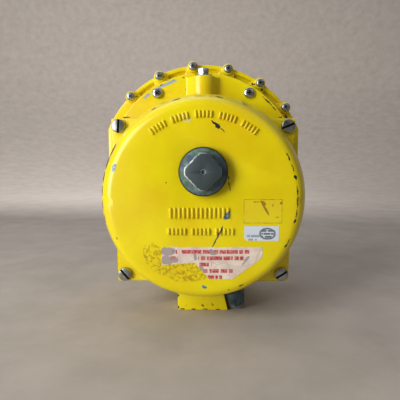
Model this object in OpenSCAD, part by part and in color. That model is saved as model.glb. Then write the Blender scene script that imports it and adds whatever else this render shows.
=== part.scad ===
// Pneumatic quarter-turn vane actuator with a limit switch unit on its front.
// Millimetres. The shaft axis is Y, the front of the object faces -Y and +Z is up.
// The origin is on the shaft axis, at the rear mounting face.

/* [Casing] */
// Radius of the flange round the shaft axis
flange_r = 104.5; // [102:0.5:106]
// Half width between the casing's upright sides
side_x = 96; // [92:1:98]
// Distance from the mounting face to the joint of the two halves
joint_depth = 48; // [46:1:50]
// Distance from the mounting face to the casing's raised front
raised_depth = 79; // [78:1:80]
// Distance from the mounting face to the bosses that the screws sit on
ledge_depth = 65; // [64:1:66]
// Radius of the vane chamber
chamber_r = 86; // [84:1:88]
// Radius of the circle of flange screws
bolt_r = 102.4; // [101:0.2:103]

/* [Shaft] */
// Across flats of the square ends
square_af = 25; // [22:0.5:25]
// Round that the corners of the square are turned to
square_round_d = 30; // [29:0.5:30]
// Diameter of the shaft in its bushes
journal_d = 36; // [34:1:36]
// Diameter of the spindle through the lid
spindle_d = 40; // [38:1:40]
// Length of the drive square behind the mounting face
drive_len = 22; // [18:1:26]
// Half of the travel in degrees
half_travel = 45; // [40:1:45]

/* [Switch unit] */
// Height of the lid's centre against the shaft axis
lid_z = -23.8; // [-25:0.2:-23]
// Radius of the lid's rim
lid_r = 92.4; // [92:0.2:94]
// Radius where the lid's flat face ends
face_r = 75; // [72:1:77]
// Distance from the mounting face to the lid's face
face_depth = 132; // [130:1:133]
// Distance from the mounting face to the front of the lid's ears
ear_depth = 95; // [94:0.5:96]
// Wall of the lid and base
unit_wall = 4; // [3:0.5:4]

/* [Mounting] */
// Pitch circle of the tapped holes in the mounting face
mount_pcd = 102; // [98:1:104]
// Radius of the tapped holes in the mounting face
mount_hole_r = 4.25; // [4:0.25:4.5]
// Height of the surface that the object stands on
floor_z = -133.5; // [-135:0.5:-133]

/* [Hidden] */
$fn = 64;
eps = 0.01;
run_fit = 0.05;

// Casing outline, from the sides to the foot
side_low_z = 12;
column_x = 46;
column_top_z = -38;
column_low_z = -105;
raised_r = 92.5;
raised_inset = 11;
raised_column_x = 31;
raised_low_z = -100;
boss_r = 5.3;
flange_front_depth = 61;
arc_bolt_first = 37.5;
arc_bolt_step = 19.4;
arc_bolt_count = 6;
rear_flange_depth = 36;
wall_rear_depth = 14;
pad_r = 62.5;
bush_d = 42;
hub_r = 32;
front_hub_depth = 84;
chamber_front_depth = 72;
pocket_r = [96.4, 100.6];
pocket_floor_depth = 57;
side_bolts = [[86.5, 46], [89.5, 8], [61, -13], [38.5, -48], [38.5, -97]];
bolt_points = concat(
    [for (i = [0:arc_bolt_count - 1]) let (a = arc_bolt_first + arc_bolt_step * i)
        [bolt_r * cos(a), bolt_r * sin(a)]],
    [for (s = [-1, 1], p = side_bolts) [s * p[0], p[1]]]
);

// Vane
vane_half = 9;
vane_core_half = 5;
vane_hub_r = 30;
vane_tip_r = 85.6;
vane_gap = 0.4;
vane_front = -chamber_front_depth + vane_gap;
vane_rear = -wall_rear_depth - vane_gap;
core_tip_r = 79;
chamber_flank = 11.5;
stop_at_r = 62;
stop_depth = 25.5;
pin_reach = [30.5, 9];
stop_end = 74;
stop_wall = 60;
stop_gap = 0.2;

// Top boss, blanking screws, ports and foot
top_boss_z = [70.5, 88];
top_boss_r = 12;
spot_face_r = 7.5;
blank_at = [43.5, 73.5];
port_depth = 28;
port_z = -70;
port_r = 5.72;
port_len = 14;
passage_x = 36;
passage_r = 3.5;
foot_x = 42;
foot_depth = [4, 28];

// Lid, gasket and base
rim_depth = 103.5;
lid_open_depth = 90;
gasket_depth = 89;
plate_pts = [[84.5, 48], [81, -104.5]];
ear_screw_pts = [[77.5, 41], [74, -97.5]];
lid_fillet = 11;
lid_draft = 17;
hollow_r = 88;
tip_depth = 140;
square_front_depth = 146;
spindle_low_depth = 84.4;
socket_end_depth = 102;
block_top = [-24.5, 20, -117];
block_low = [-24, 24];
block_depth = [66, 95];
entry_r = 9.19;
entry_len = 15;
entry_depth = 80.5;
lug_x = [25, 40];
lug_depth = [77, 91];
lug_top_z = -115.5;
lug_bolt_at = [32, -121.5];
lug_bolt_r = 8.4;

// Notice and sticker on the lid's face
notice_x = [-35, 50];
notice_top = -63.5;
notice_low = -91;
notice_step = 9;
notice_tear = -77;
sticker_x = [34.5, 63.5];
sticker_z = [-58, -45.5];
sticker_snip = 2.5;

// Cams, levers and microswitches
cam_r = 27;
cam_wide = 7;
cam_depths = [103, 116];
lever_ratio = 0.1;
roller_r = 3;
roller_gap = 0.15;
lever_pivot = [-20, -34.2];
roller_pin_r = 0.9;
pivot_pin_r = 0.8;
switch_wide = 10.3;
switch_x = [-24, 6];
switch_z = [-53, -37.2];
button_x = -12;
roller_at = [0, -(cam_r + roller_r + roller_gap)];
bracket_depth = [88.5, 91];
terminal_count = 6;
terminal_pitch = 11;
terminal_z = -87;
terminal_seat = raised_depth + unit_wall;
cam_sweep = half_travel + 5;

// A cylinder along Y, from one depth to a deeper one, at x and z
module along_y(r, front, back, x = 0, z = 0, sides = 64)
    translate([x, -back, z]) rotate([90, 0, 0]) cylinder(r = r, h = front - back, $fn = sides);

// A flat outline in X and Z, extruded between two depths
module slab(front, back)
    translate([0, -back, 0]) rotate([90, 0, 0]) linear_extrude(height = front - back) children();

module mirrored() {
    children();
    mirror([1, 0, 0]) children();
}

// Casing outlines
module flange_outline() {
    intersection() {
        circle(r = flange_r, $fn = 128);
        translate([-side_x, side_low_z]) square([2 * side_x, flange_r]);
    }
    polygon([[-side_x, side_low_z + eps], [side_x, side_low_z + eps], [side_x, side_low_z],
        [column_x, column_top_z], [column_x, column_low_z], [-column_x, column_low_z],
        [-column_x, column_top_z], [-side_x, side_low_z]]);
    for (p = bolt_points) translate(p) circle(r = boss_r);
}

module raised_outline() {
    x = side_x - raised_inset;
    low = side_low_z + 9;
    bend = low - x + raised_column_x;
    intersection() {
        circle(r = raised_r, $fn = 128);
        translate([-x, low]) square([2 * x, flange_r]);
    }
    polygon([[-x, low + eps], [x, low + eps], [x, low],
        [raised_column_x, bend], [raised_column_x, raised_low_z],
        [-raised_column_x, raised_low_z], [-raised_column_x, bend], [-x, low]]);
}

module chamber_outline() {
    apex = -chamber_flank / sin(45);
    intersection() {
        circle(r = chamber_r, $fn = 128);
        polygon([[0, apex], [chamber_r * 2, apex + chamber_r * 2], [-chamber_r * 2, apex + chamber_r * 2]]);
    }
    circle(r = vane_hub_r + vane_gap);
}

module pocket(a0, a1)
    intersection() {
        difference() {
            circle(r = pocket_r[1], $fn = 128);
            circle(r = pocket_r[0], $fn = 128);
        }
        polygon([[0, 0], 2 * flange_r * [cos(a0), sin(a0)], 2 * flange_r * [cos(a1), sin(a1)]]);
    }

module bolt_holes(r, front, back)
    for (p = bolt_points) along_y(r, front, back, p[0], p[1], 32);

module hub_seal_slot(extra)
    translate([-4 - extra, vane_front - extra, -43 - extra])
        cube([8 + 2 * extra, vane_rear - vane_front + 2 * extra, 14]);

module pan_head(x, z, seat, r, high, shank_r, end) {
    difference() {
        union() {
            along_y(r, seat + high * 0.55, seat, x, z, 48);
            along_y(r * 0.86, seat + high * 0.8, seat, x, z, 48);
            along_y(r * 0.62, seat + high, seat, x, z, 48);
        }
        for (a = [0, 90]) translate([x, -seat - high, z]) rotate([0, a + 20, 0])
            cube([r * 1.1, high * 1.2, r * 0.28], center = true);
    }
    along_y(shank_r, seat, end, x, z, 32);
}

module casing_front()
    color("gold")
        difference() {
            union() {
                slab(flange_front_depth, joint_depth) flange_outline();
                slab(raised_depth, joint_depth) raised_outline();
                slab(ledge_depth, flange_front_depth - 1)
                    for (p = bolt_points) translate(p) circle(r = boss_r);
                along_y(hub_r, front_hub_depth, raised_depth - eps);
                translate([0, -raised_depth, top_boss_z[0]])
                    cylinder(r = top_boss_r, h = top_boss_z[1] - top_boss_z[0]);
                translate([0, -raised_depth, top_boss_z[0]])
                    linear_extrude(height = top_boss_z[1] - top_boss_z[0])
                        polygon([[-16, 1], [16, 1], [16, 0], [11, -4.5], [-11, -4.5], [-16, 0]]);
            }
            slab(chamber_front_depth, joint_depth - 1) chamber_outline();
            along_y(bush_d / 2, front_hub_depth + 1, joint_depth);
            along_y(21.4, 76, 72.5);
            bolt_holes(2.6, ledge_depth + 1, joint_depth - 1);
            slab(flange_front_depth + 1, pocket_floor_depth)
                for (i = [0:arc_bolt_count - 2]) let (a = arc_bolt_first + arc_bolt_step * i)
                    pocket(a + 4.4, a + arc_bolt_step - 4.4);
            for (s = [-1, 1])
                along_y(2.5, raised_depth + 1, raised_depth - 6, s * blank_at[0], blank_at[1], 32);
            for (p = base_screw_pts()) along_y(3, raised_depth + 1, raised_depth - 6, p[0], p[1], 32);
            translate([0, -raised_depth, top_boss_z[1] - 10]) cylinder(r = 3, h = 11, $fn = 32);
            translate([0, -raised_depth, top_boss_z[1]]) cylinder(r = spot_face_r, h = 8);
            hub_seal_slot(0);
        }

module stop_axis(x_sign, r, from, to, sides = 48)
    mirror([x_sign < 0 ? 1 : 0, 0, 0])
        translate([stop_at_r * sin(45), -stop_depth, stop_at_r * sin(45)])
            rotate([0, 135, 0]) translate([0, 0, from]) cylinder(r = r, h = to - from, $fn = sides);

module casing_rear()
    color("gold")
        difference() {
            union() {
                slab(joint_depth - 0.6, rear_flange_depth) flange_outline();
                slab(joint_depth - 0.6, 8) raised_outline();
                along_y(pad_r, wall_rear_depth + 1, 0);
                translate([-foot_x, -foot_depth[1], floor_z])
                    cube([2 * foot_x, foot_depth[1] - foot_depth[0], column_low_z - floor_z + 6]);
                slab(joint_depth - 0.6, foot_depth[0] + 4)
                    polygon([[-column_x, column_top_z], [column_x, column_top_z],
                        [column_x, column_low_z], [-column_x, column_low_z]]);
                for (s = [-1, 1]) stop_axis(s, 10, vane_half + 4, stop_wall);
            }
            slab(joint_depth + 1, wall_rear_depth) chamber_outline();
            along_y(bush_d / 2, joint_depth, -1);
            along_y(21.4, 12, 8.5);
            bolt_holes(2.5, joint_depth + 1, 36.5);
            for (i = [0:3]) let (a = 45 + 90 * i)
                along_y(mount_hole_r, 12, -1, mount_pcd / 2 * cos(a), mount_pcd / 2 * sin(a), 48);
            for (s = [-1, 1]) {
                translate([s * (column_x + 1), -port_depth, port_z]) rotate([0, -s * 90, 0])
                    cylinder(r = port_r, h = port_len + 1);
                translate([s * passage_x, -port_depth, port_z])
                    cylinder(r = passage_r, h = 94, $fn = 32);
                stop_axis(s, 5, vane_half - 4, stop_wall + 1);
            }
            hub_seal_slot(0);
        }

module casing_seal()
    color("black")
        slab(joint_depth, joint_depth - 0.6)
            difference() {
                intersection() {
                    circle(r = flange_r - 3.5, $fn = 128);
                    polygon([[-side_x + 2, side_low_z], [-column_x + 2, column_top_z],
                        [-column_x + 2, column_low_z + 2], [column_x - 2, column_low_z + 2],
                        [column_x - 2, column_top_z], [side_x - 2, side_low_z],
                        [side_x - 2, flange_r], [-side_x + 2, flange_r]]);
                }
                chamber_outline();
                for (p = bolt_points) translate(p) circle(r = 3);
                translate([-4, -43]) square([8, 20]);
            }

module casing_screws()
    color("silver")
        for (p = bolt_points) pan_head(p[0], p[1], ledge_depth, 4, 3.2, 2.5, 37);

module blanking_screws()
    color("silver")
        for (s = [-1, 1]) pan_head(s * blank_at[0], blank_at[1], raised_depth, 5, 3.7, 2.5, raised_depth - 5);

module top_plug()
    color("silver")
        translate([0, -raised_depth, top_boss_z[1]]) {
            translate([0, 0, 1.5]) rotate([0, 0, 30]) cylinder(r = 5.8, h = 6.5, $fn = 6);
            translate([0, 0, -9]) cylinder(r = 3, h = 10.5 + eps, $fn = 32);
        }

module top_plug_washer()
    color("dimgray")
        translate([0, -raised_depth, top_boss_z[1]])
            difference() {
                cylinder(r = 6.4, h = 1.5, $fn = 48);
                translate([0, 0, -1]) cylinder(r = 3, h = 4, $fn = 32);
            }

// Square with turned corners, its flats at 45 degrees to the upright
module square_bar(front, back, af, round_d)
    slab(front, back)
        intersection() {
            rotate(45) square([af, af], center = true);
            circle(r = round_d / 2);
        }

module drive_shaft()
    color("dimgray")
        difference() {
            union() {
                square_bar(101, front_hub_depth, square_af, square_round_d);
                along_y(journal_d / 2, front_hub_depth + eps, 0);
                square_bar(eps, -drive_len, square_af, square_round_d);
            }
            pin_bore();
        }

module vane()
    color("silver")
        difference() {
            union() {
                along_y(vane_hub_r, -vane_front, -vane_rear);
                translate([-vane_core_half, vane_front + 4, vane_hub_r - 4])
                    cube([2 * vane_core_half, vane_rear - vane_front - 8, core_tip_r - vane_hub_r + 4]);
            }
            along_y(journal_d / 2, chamber_front_depth + 1, wall_rear_depth - 1);
            for (y = vane_screw_depths(), z = vane_screw_rows())
                translate([-vane_core_half - 1, -y, z]) rotate([0, 90, 0])
                    cylinder(r = 2.5, h = 2 * vane_core_half + 2, $fn = 32);
            pin_bore();
        }

module pin_bore()
    translate([0, -43, -pin_reach[0]]) cylinder(r = 4, h = pin_reach[0] - pin_reach[1], $fn = 32);

function vane_screw_depths() = [26, 43, 60];
function vane_screw_rows() = [44, 68];
function base_screw_pts() = [[52, 25], [-52, 25], [22, -72], [-22, -72]];

module vane_seal()
    color("black")
        difference() {
            translate([-vane_core_half, vane_front, vane_hub_r + 1])
                cube([2 * vane_core_half, vane_rear - vane_front, vane_tip_r - vane_hub_r - 1]);
            translate([-vane_half, vane_front + 4, 0])
                cube([2 * vane_half, vane_rear - vane_front - 8, core_tip_r]);
        }

module vane_side_plates()
    color("silver")
        mirrored()
            difference() {
                translate([vane_core_half, vane_front + 2, vane_hub_r + 3])
                    cube([vane_half - vane_core_half, vane_rear - vane_front - 4,
                        vane_tip_r - vane_hub_r - 6]);
                for (y = vane_screw_depths(), z = vane_screw_rows())
                    translate([0, -y, z]) rotate([0, 90, 0]) cylinder(r = 2.5, h = 20, $fn = 32);
            }

module vane_screws()
    color("gray")
        for (y = vane_screw_depths(), z = vane_screw_rows())
            translate([-vane_half, -y, z]) rotate([0, 90, 0]) cylinder(r = 2.5, h = 2 * vane_half, $fn = 32);

module vane_pin()
    color("gray")
        difference() {
            pin_bore();
            along_y(40, 80, 5, 0, -68.6);
        }

module hub_seal()
    color("black")
        difference() {
            hub_seal_slot(0);
            along_y(vane_hub_r + 0.1, 80, 5);
        }

module bush(front, back)
    color("darkgoldenrod")
        difference() {
            along_y(bush_d / 2, front, back);
            along_y(journal_d / 2 + run_fit, front + 1, back - 1);
        }

module shaft_bush_front() bush(front_hub_depth, 76.2);

module shaft_bush_rear() bush(8.3, 0);

module shaft_seal(middle)
    color("black")
        difference() {
            along_y(21.3, middle + 1.6, middle - 1.6);
            along_y(journal_d / 2 + run_fit, middle + 3, middle - 3);
        }

module shaft_seal_front() shaft_seal(74.25);

module shaft_seal_rear() shaft_seal(10.25);

module stop_screws()
    color("dimgray")
        for (s = [-1, 1])
            difference() {
                stop_axis(s, 5, vane_half + stop_gap, stop_end);
                stop_axis(s, 2.9, stop_end - 5, stop_end + 1, 6);
            }

module stop_locknuts()
    color("silver")
        for (s = [-1, 1])
            difference() {
                stop_axis(s, 9.8, stop_wall, stop_wall + 8, 6);
                stop_axis(s, 5, stop_wall - 1, stop_wall + 9);
            }

// Outline shared by the lid's flange, the gasket and the base
module unit_outline() {
    p = plate_pts;
    polygon([p[0], p[1], [-p[1][0], p[1][1]], [-p[0][0], p[0][1]]]);
    translate([0, lid_z]) circle(r = lid_r, $fn = 128);
}

module ear_points()
    for (s = [-1, 1], p = ear_screw_pts) translate([s * p[0], p[1]]) children();

module entry_block()
    difference() {
        slab(block_depth[1], block_depth[0])
            polygon([[block_top[0], block_top[2]], [block_top[1], block_top[2]],
                [block_low[1], floor_z], [block_low[0], floor_z]]);
        translate([0, -entry_depth, floor_z - 1]) cylinder(r = entry_r, h = entry_len + 1);
    }

module switch_base()
    color("gold")
        difference() {
            union() {
                slab(gasket_depth, raised_depth) unit_outline();
                entry_block();
                slab(gasket_depth, raised_depth)
                    polygon([[block_top[0], block_top[2] - eps], [block_top[1], block_top[2] - eps],
                        [block_top[1], -100], [block_top[0], -100]]);
                // seat of the lug, and the web that carries it and the entry block
                slab(lug_depth[0], block_depth[0])
                    polygon([[15, -113], [lug_x[1], -113], [lug_x[1], -131], [15, -131]]);
                slab(raised_depth + 1, block_depth[0])
                    polygon([[block_top[0], -100.4], [30, -100.4], [lug_x[1], -104.5],
                        [lug_x[1], lug_top_z + 0.3], [block_top[1], lug_top_z + 0.3],
                        [block_top[1], block_top[2] - 1], [block_top[0], block_top[2] - 1]]);
            }
            translate([0, 0, lid_z]) along_y(hollow_r, gasket_depth + 1, raised_depth + unit_wall);
            along_y(hub_r + 0.2, 100, raised_depth - 1);
            slab(gasket_depth + 1, raised_depth + 1) ear_points() circle(r = 3, $fn = 32);
            for (p = base_screw_pts()) along_y(3.3, raised_depth + 10, raised_depth - 1, p[0], p[1], 32);
            along_y(4, lug_depth[0] + 1, block_depth[0] + 3, lug_bolt_at[0], lug_bolt_at[1], 32);
            // wireway from the cable entry up into the base
            translate([0, -gasket_depth + 4.4, -122]) cylinder(r = 4, h = 20, $fn = 48);
        }

module base_screws()
    color("silver")
        for (p = base_screw_pts())
            pan_head(p[0], p[1], raised_depth + unit_wall, 5.5, 4, 3, raised_depth - 5.5);

module cover_gasket()
    color("black")
        difference() {
            along_y(lid_r - 0.6, lid_open_depth, gasket_depth, 0, lid_z, 128);
            along_y(hollow_r, lid_open_depth + 1, gasket_depth - 1, 0, lid_z, 128);
        }

// Lid profile: flat face, fillet and drafted side, as points of radius and depth
function lid_profile(inset) = let (r0 = face_r - inset * 0.4, f = lid_fillet - inset * 0.6)
    concat([[0, face_depth - inset]],
        [for (a = [0:12.1667:90 - lid_draft]) [r0 + f * sin(a), face_depth - inset - f * (1 - cos(a))]],
        [[lid_r - 0.6 - inset, rim_depth + 3], [lid_r - inset, rim_depth]]);

module lid_solid(inset, back)
    translate([0, 0, lid_z]) rotate([90, 0, 0])
        rotate_extrude($fn = 128)
            polygon(concat(lid_profile(inset), [[lid_r - inset, back], [0, back]]));

module switch_cover()
    color("gold")
        difference() {
            union() {
                lid_solid(0, lid_open_depth);
                slab(ear_depth, lid_open_depth) unit_outline();
            }
            difference() {
                lid_solid(unit_wall + 0.4, lid_open_depth - 1);
                along_y(26, face_depth, 122);
            }
            along_y(spindle_d / 2 + run_fit, face_depth + 1, 110);
            along_y(23, 126, 122.5);
            slab(ear_depth + 1, lid_open_depth - 1) ear_points() circle(r = 3.2, $fn = 32);
        }

module cover_screws()
    color("silver")
        for (s = [-1, 1], p = ear_screw_pts)
            difference() {
                union() {
                    along_y(6.2, ear_depth + 3.6, ear_depth, s * p[0], p[1], 48);
                    along_y(3, ear_depth, raised_depth + 1.5, s * p[0], p[1], 32);
                }
                translate([s * p[0], -ear_depth - 3.6, p[1]]) rotate([0, s * 15, 0])
                    cube([2, 3.4, 14], center = true);
            }

module switch_spindle()
    color("dimgray")
        difference() {
            union() {
                square_bar(square_front_depth, tip_depth - eps, square_af, square_round_d);
                along_y(spindle_d / 2, tip_depth, spindle_low_depth);
            }
            square_bar(socket_end_depth, spindle_low_depth - 1, square_af, square_round_d);
            along_y(1.5, square_front_depth + 1, square_front_depth - 2, 0, 0, 32);
            for (d = cam_depths) translate([0, -d + cam_wide / 2, 15]) cylinder(r = 2, h = 10, $fn = 32);
        }

module spindle_seal()
    color("black")
        difference() {
            along_y(22.9, 125.9, 122.6);
            along_y(spindle_d / 2 + run_fit, 127, 121);
        }

// Rotates a point of X and Z about the pivot, as the lever does
function swung(p, a) = [p[0] * cos(a) + p[1] * sin(a), -p[0] * sin(a) + p[1] * cos(a)];
function roller_place(t) = lever_pivot + swung(roller_at - lever_pivot, t * lever_ratio);
function cam_point(t, way) = let (q = roller_place(t), far = norm(q) - roller_r - roller_gap,
    a = atan2(q[1], q[0]) + way * t) [far * cos(a), far * sin(a)];
function return_point(i, way) = let (s = i / 10, a = -90 + way * (cam_sweep + (360 - 2 * cam_sweep) * s),
    r0 = norm(cam_point(cam_sweep, way)), r1 = norm(cam_point(-cam_sweep, way)), r = r0 + (r1 - r0) * s)
    [r * cos(a), r * sin(a)];

module cam(depth, way)
    difference() {
        slab(depth, depth - cam_wide)
            polygon(concat([for (t = [-cam_sweep:5:cam_sweep]) cam_point(t, way)],
                [for (i = [1:9]) return_point(i, way)]));
        along_y(spindle_d / 2, depth + 1, depth - cam_wide - 1);
        translate([0, -depth + cam_wide / 2, 15]) cylinder(r = 2, h = 20, $fn = 32);
    }

module cam_open() color("tomato") cam(cam_depths[0], 1);

module cam_closed() color("limegreen") cam(cam_depths[1], -1);

module cam_screws()
    color("dimgray")
        for (d = cam_depths)
            translate([0, -d + cam_wide / 2, 16])
                difference() {
                    cylinder(r = 2, h = 9.5, $fn = 32);
                    translate([0, 0, 7.5]) cylinder(r = 1.1, h = 3, $fn = 6);
                }

// Middle depth of a cam, which its lever and switch share
function cam_middle(i) = cam_depths[i] - cam_wide / 2;

module switch_body(i)
    color("black") {
        d = cam_middle(i);
        difference() {
            translate([switch_x[0], -d - switch_wide / 2, switch_z[0]])
                cube([switch_x[1] - switch_x[0], switch_wide, switch_z[1] - switch_z[0]]);
            translate([button_x, -d, switch_z[1] - 4]) cylinder(r = 1.6, h = 5, $fn = 32);
            for (x = switch_hole_x()) along_y(1.5, d + 8, d - 8, x, -48.5, 32);
            translate([lever_pivot[0] - 3.5, -d - 2.6, switch_z[1] - 1.2]) cube([7, 5.2, 3]);
        }
        for (s = [-1, 1])
            translate([lever_pivot[0] - 1.8, -d + s * 3.2 - 0.5, switch_z[1] - eps])
                cube([3.6, 1, lever_pivot[1] - switch_z[1] + 1.4]);
        along_y(pivot_pin_r, d + 3.4, d - 3.4, lever_pivot[0], lever_pivot[1], 32);
        for (x = [-20, -9, 2]) translate([x - 1.5, -d - 0.4, switch_z[0] - 6]) cube([3, 0.8, 6 + eps]);
    }

function switch_hole_x() = [-19, 1];

module switch_open() switch_body(0);

module switch_closed() switch_body(1);

module lever(i)
    color("silver") {
        d = cam_middle(i);
        px = lever_pivot[0];
        pz = lever_pivot[1];
        difference() {
            union() {
                along_y(1.6, d + 2.3, d - 2.3, px, pz, 32);
                translate([px, -d - 2.3, pz - 0.5]) cube([18.5, 4.6, 1]);
                for (s = [-1, 1]) {
                    translate([-2.5, -d + s * 2.8 - 0.5, pz - 0.5]) cube([4.7, 1, 5.6]);
                    translate([-2.5, -d + s * 2.3 - 0.5, pz - 0.5]) cube([1, 1, 1]);
                }
            }
            along_y(pivot_pin_r + run_fit, d + 4, d - 4, px, pz, 32);
        }
        along_y(roller_pin_r, d + 3.3, d - 3.3, 0, roller_at[1], 32);
        difference() {
            along_y(roller_r, d + 2, d - 2, 0, roller_at[1], 48);
            along_y(roller_pin_r, d + 3, d - 3, 0, roller_at[1], 32);
        }
    }

module lever_open() lever(0);

module lever_closed() lever(1);

module button(i)
    color("firebrick")
        translate([button_x, -cam_middle(i), switch_z[1] - 2.4])
            cylinder(r = 1.5, h = lever_pivot[1] - 0.6 - switch_z[1] + 2.4, $fn = 32);

module button_open() button(0);

module button_closed() button(1);

module switch_bracket()
    color("gainsboro")
        difference() {
            union() {
                translate([-27, -bracket_depth[1], -57]) cube([36, bracket_depth[1] - bracket_depth[0], 20]);
                for (x = [-27, 3]) translate([x, -bracket_depth[1], -57])
                    cube([6, bracket_depth[1] - raised_depth - unit_wall, 2.5]);
                translate([-27, -bracket_depth[1], -57])
                    cube([36, bracket_depth[1] - raised_depth - unit_wall, 2.5]);
                translate([-27, -raised_depth - unit_wall - 2.5, -66]) cube([36, 2.5, 11]);
            }
            for (x = switch_hole_x()) along_y(1.5, 95, 86, x, -48.5, 32);
            for (x = bracket_screw_x()) along_y(2, 90, 80, x, -61, 32);
        }

function bracket_screw_x() = [-20, 2];

module bracket_screws()
    color("silver")
        for (x = bracket_screw_x())
            pan_head(x, -61, raised_depth + unit_wall + 2.5, 3.5, 2.6, 2, raised_depth + unit_wall);

module switch_screws()
    color("silver") {
        top = cam_middle(1) + switch_wide / 2;
        for (x = switch_hole_x()) {
            pan_head(x, -48.5, top, 2.8, 2, 1.5, bracket_depth[0]);
            difference() {
                along_y(2.6, cam_middle(1) - switch_wide / 2, cam_middle(0) + switch_wide / 2, x, -48.5, 32);
                along_y(1.5, 120, 90, x, -48.5, 32);
            }
            difference() {
                along_y(2.6, cam_middle(0) - switch_wide / 2, bracket_depth[1], x, -48.5, 32);
                along_y(1.5, 120, 90, x, -48.5, 32);
            }
        }
    }

module terminal_block()
    color("ivory")
        difference() {
            translate([-34, -terminal_seat - 18, terminal_z - 9]) cube([68, 18, 18]);
            for (i = [0:terminal_count - 1]) let (x = -27.5 + terminal_pitch * i) {
                along_y(3, terminal_seat + 19, terminal_seat + 8, x, terminal_z, 32);
                translate([x, -terminal_seat - 6, terminal_z])
                    cylinder(r = 2.2, h = 24, center = true, $fn = 32);
            }
        }

module terminal_screws()
    color("khaki")
        for (i = [0:terminal_count - 1]) let (x = -27.5 + terminal_pitch * i)
            difference() {
                along_y(2.8, terminal_seat + 13, terminal_seat + 8.1, x, terminal_z, 32);
                translate([x, -terminal_seat - 13, terminal_z]) cube([0.9, 2, 8], center = true);
            }

module earth_lug()
    color("lightgray")
        difference() {
            slab(lug_depth[1], lug_depth[0])
                polygon([[20.7, lug_top_z], [lug_x[1], lug_top_z], [lug_x[1], floor_z + 0.3],
                    [lug_x[0] - 0.4, floor_z + 0.3]]);
            along_y(4, lug_depth[1] + 1, lug_depth[0] - 1, lug_bolt_at[0], lug_bolt_at[1], 32);
        }

module earth_bolt()
    color("darkslategray") {
        translate([lug_bolt_at[0], 0, lug_bolt_at[1]]) rotate([0, 30, 0])
            along_y(lug_bolt_r, lug_depth[1] + 5.3, lug_depth[1], 0, 0, 6);
        along_y(4, lug_depth[1], block_depth[0] + 3.5, lug_bolt_at[0], lug_bolt_at[1], 32);
    }

module notice_label()
    color("mistyrose")
        slab(face_depth + 0.2, face_depth)
            polygon([[notice_x[0], notice_top], [notice_x[1], notice_top],
                [notice_x[1], notice_top - notice_step], [notice_x[1] / 2, notice_low],
                [notice_x[1] / 10, notice_low], [-7, notice_tear], [notice_x[0], notice_tear - 2]]);

module rating_label()
    color("white")
        slab(face_depth + 0.2, face_depth)
            polygon([[sticker_x[0], sticker_z[1]], [sticker_x[1], sticker_z[1]], [sticker_x[1], sticker_z[0]],
                [sticker_x[0] + sticker_snip, sticker_z[0]], [sticker_x[0], sticker_z[0] + sticker_snip]]);

casing_front();
casing_rear();
casing_seal();
casing_screws();
blanking_screws();
top_plug();
top_plug_washer();
drive_shaft();
vane();
vane_seal();
vane_side_plates();
vane_screws();
vane_pin();
hub_seal();
shaft_bush_front();
shaft_bush_rear();
shaft_seal_front();
shaft_seal_rear();
stop_screws();
stop_locknuts();
switch_base();
base_screws();
cover_gasket();
switch_cover();
cover_screws();
switch_spindle();
spindle_seal();
cam_open();
cam_closed();
cam_screws();
switch_bracket();
bracket_screws();
switch_open();
switch_closed();
switch_screws();
lever_open();
lever_closed();
button_open();
button_closed();
terminal_block();
terminal_screws();
earth_lug();
earth_bolt();
notice_label();
rating_label();
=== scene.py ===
import math

import bpy
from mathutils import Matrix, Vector


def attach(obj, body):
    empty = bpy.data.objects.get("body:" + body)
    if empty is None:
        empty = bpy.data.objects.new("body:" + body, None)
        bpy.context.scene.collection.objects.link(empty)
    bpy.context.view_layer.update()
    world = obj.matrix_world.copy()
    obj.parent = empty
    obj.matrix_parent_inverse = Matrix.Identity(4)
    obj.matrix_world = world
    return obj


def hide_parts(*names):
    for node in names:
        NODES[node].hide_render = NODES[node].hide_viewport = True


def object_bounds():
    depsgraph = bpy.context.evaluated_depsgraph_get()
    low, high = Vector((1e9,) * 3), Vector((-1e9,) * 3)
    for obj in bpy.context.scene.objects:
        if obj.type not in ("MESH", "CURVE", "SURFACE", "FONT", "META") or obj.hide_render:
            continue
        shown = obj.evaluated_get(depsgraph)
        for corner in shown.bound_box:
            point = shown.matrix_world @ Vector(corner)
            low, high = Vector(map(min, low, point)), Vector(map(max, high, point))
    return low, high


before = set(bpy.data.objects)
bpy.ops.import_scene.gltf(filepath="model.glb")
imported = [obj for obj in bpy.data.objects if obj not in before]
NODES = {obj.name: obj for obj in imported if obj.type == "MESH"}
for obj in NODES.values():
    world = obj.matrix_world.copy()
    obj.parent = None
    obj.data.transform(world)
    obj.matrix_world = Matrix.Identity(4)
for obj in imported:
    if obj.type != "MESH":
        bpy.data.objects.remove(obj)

bl_info = {
    "name": "Vane actuator",
    "version": (1, 0, 0),
    "blender": (4, 5, 0),
    "location": "3D view > Sidebar > Actuator",
    "description": "Looks of a pneumatic vane actuator with a limit switch unit",
    "category": "Object",
}

MM = 0.001
CAD_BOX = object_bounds()

# Places that the CAD model gives, in metres
LEDGE_Y = -65 * MM
RAISED_Y = -79 * MM
EAR_Y = -95 * MM
FACE_Y = -132 * MM
LID_Z = -23.8 * MM
# The lid: where its flat face ends and the round that follows, in millimetres, and the side's draft
LID_FACE_R, LID_ROUND, LID_DRAFT = 75, 11, math.radians(17)
FLOOR_Z = CAD_BOX[0].z


def srgb(code):
    """The linear colour of an sRGB hex value."""
    parts = [int(code[i:i + 2], 16) / 255 for i in (1, 3, 5)]
    return tuple(c / 12.92 if c <= 0.04045 else ((c + 0.055) / 1.055) ** 2.4 for c in parts) + (1.0,)


def size(name, text, default):
    return bpy.props.FloatProperty(name=name, description=text, default=default, min=0.0, unit="LENGTH")


def colour(name, text, code):
    return bpy.props.FloatVectorProperty(name=name, description=text, default=srgb(code), size=4,
                                         min=0.0, max=1.0, subtype="COLOR")


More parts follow.
